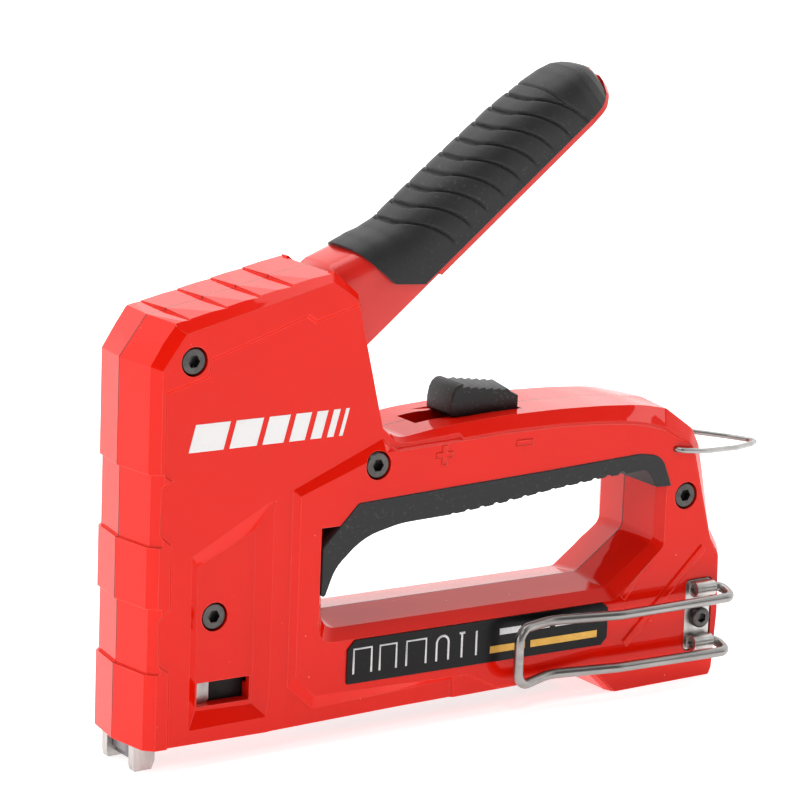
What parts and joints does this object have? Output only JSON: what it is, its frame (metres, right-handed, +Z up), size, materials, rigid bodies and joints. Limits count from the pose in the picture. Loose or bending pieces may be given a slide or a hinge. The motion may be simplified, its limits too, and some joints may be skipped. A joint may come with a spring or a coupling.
{
  "type": "staple gun",
  "caption": "Hand staple gun with a split cast housing, sprung squeeze lever with soft grip, finger opening, rear-loading magazine, power slide, lever lock wire and belt hook.",
  "frame": {"origin": "on the work surface, at the middle of the staple exit between the two nose tips", "axes": "+X back along the magazine, +Y to the side with the nuts, +Z up from the surface that nose tips and heel stand on"},
  "size_m": [0.2077, 0.0411, 0.1735],
  "materials": {
    "red_paint": "glossy",
    "lever_paint": "glossy",
    "soft_grip": "matte",
    "black_plastic": "satin",
    "black_steel": "satin",
    "zinc_steel": "satin",
    "wire_steel": "satin",
    "spring_steel": "satin",
    "dark_steel": "satin",
    "label_black": "glossy"
  },
  "bodies": {
    "housing": {"left_housing_half": "red_paint", "right_housing_half": "red_paint", "housing_screws": "black_steel", "housing_nuts": "black_steel", "lever_pivot_pin": "dark_steel", "spring_seat": "zinc_steel", "striker_bumper": "soft_grip", "front_plate": "zinc_steel", "nose_guide": "zinc_steel", "magazine_channel": "zinc_steel", "staple_strip": "wire_steel", "detent_spring": "spring_steel", "grip_insert": "soft_grip", "belt_hook": "wire_steel", "hook_bracket": "zinc_steel", "bracket_screw": "black_steel", "name_label": "label_black", "main_spring": "spring_steel"},
    "lever": {"lever_frame": "lever_paint", "lever_grip": "soft_grip", "pivot_sleeve": "zinc_steel", "lever_return_spring": "spring_steel"},
    "striker": {"striker_carrier": "zinc_steel", "driver_blade": "dark_steel", "blade_rivets": "zinc_steel"},
    "magazine": {"magazine_rail": "zinc_steel", "magazine_end_cap": "black_plastic", "pusher_rod": "wire_steel", "pusher_spring": "spring_steel"},
    "pusher": {"staple_pusher": "zinc_steel"},
    "power_slide": {"power_button": "black_plastic", "power_bar": "zinc_steel"},
    "lock_bail": {"handle_lock_bail": "wire_steel"}
  },
  "joints": [
    {"name": "lever_squeeze", "type": "hinge", "parent": "housing", "child": "lever", "pos_m": [0.04787, 0, 0.0971], "axis": [0, 1, 0], "range_deg": [0, 38], "stiffness_Nm_per_rad": 0.5, "springref_deg": -34.38, "deforming": ["lever_return_spring"]},
    {"name": "striker_lift", "type": "slide", "parent": "housing", "child": "striker", "axis": [0.0192, 0, 0.9998], "range_m": [0, 0.01663], "stiffness_N_per_m": 800, "springref_m": -0.01, "deforming": ["main_spring"]},
    {"name": "power_setting", "type": "slide", "parent": "housing", "child": "power_slide", "axis": [-0.9998, 0, 0.0192], "range_m": [0, 0.009]},
    {"name": "magazine_pull", "type": "slide", "parent": "housing", "child": "magazine", "axis": [0.9998, 0, -0.0192], "range_m": [0, 0.09]},
    {"name": "pusher_feed", "type": "slide", "parent": "magazine", "child": "pusher", "axis": [0.9998, 0, -0.0192], "range_m": [0, 0.06], "stiffness_N_per_m": 30, "springref_m": -0.03, "deforming": ["pusher_spring"]},
    {"name": "lever_lock", "type": "hinge", "parent": "housing", "child": "lock_bail", "pos_m": [0.16261, 0, 0.06679], "axis": [0, 1, 0], "range_deg": [-108, 28]}
  ],
  "couplings": [
    {"joint": "striker_lift", "follows": "lever_squeeze", "m_per_rad": 0.02492}
  ]
}
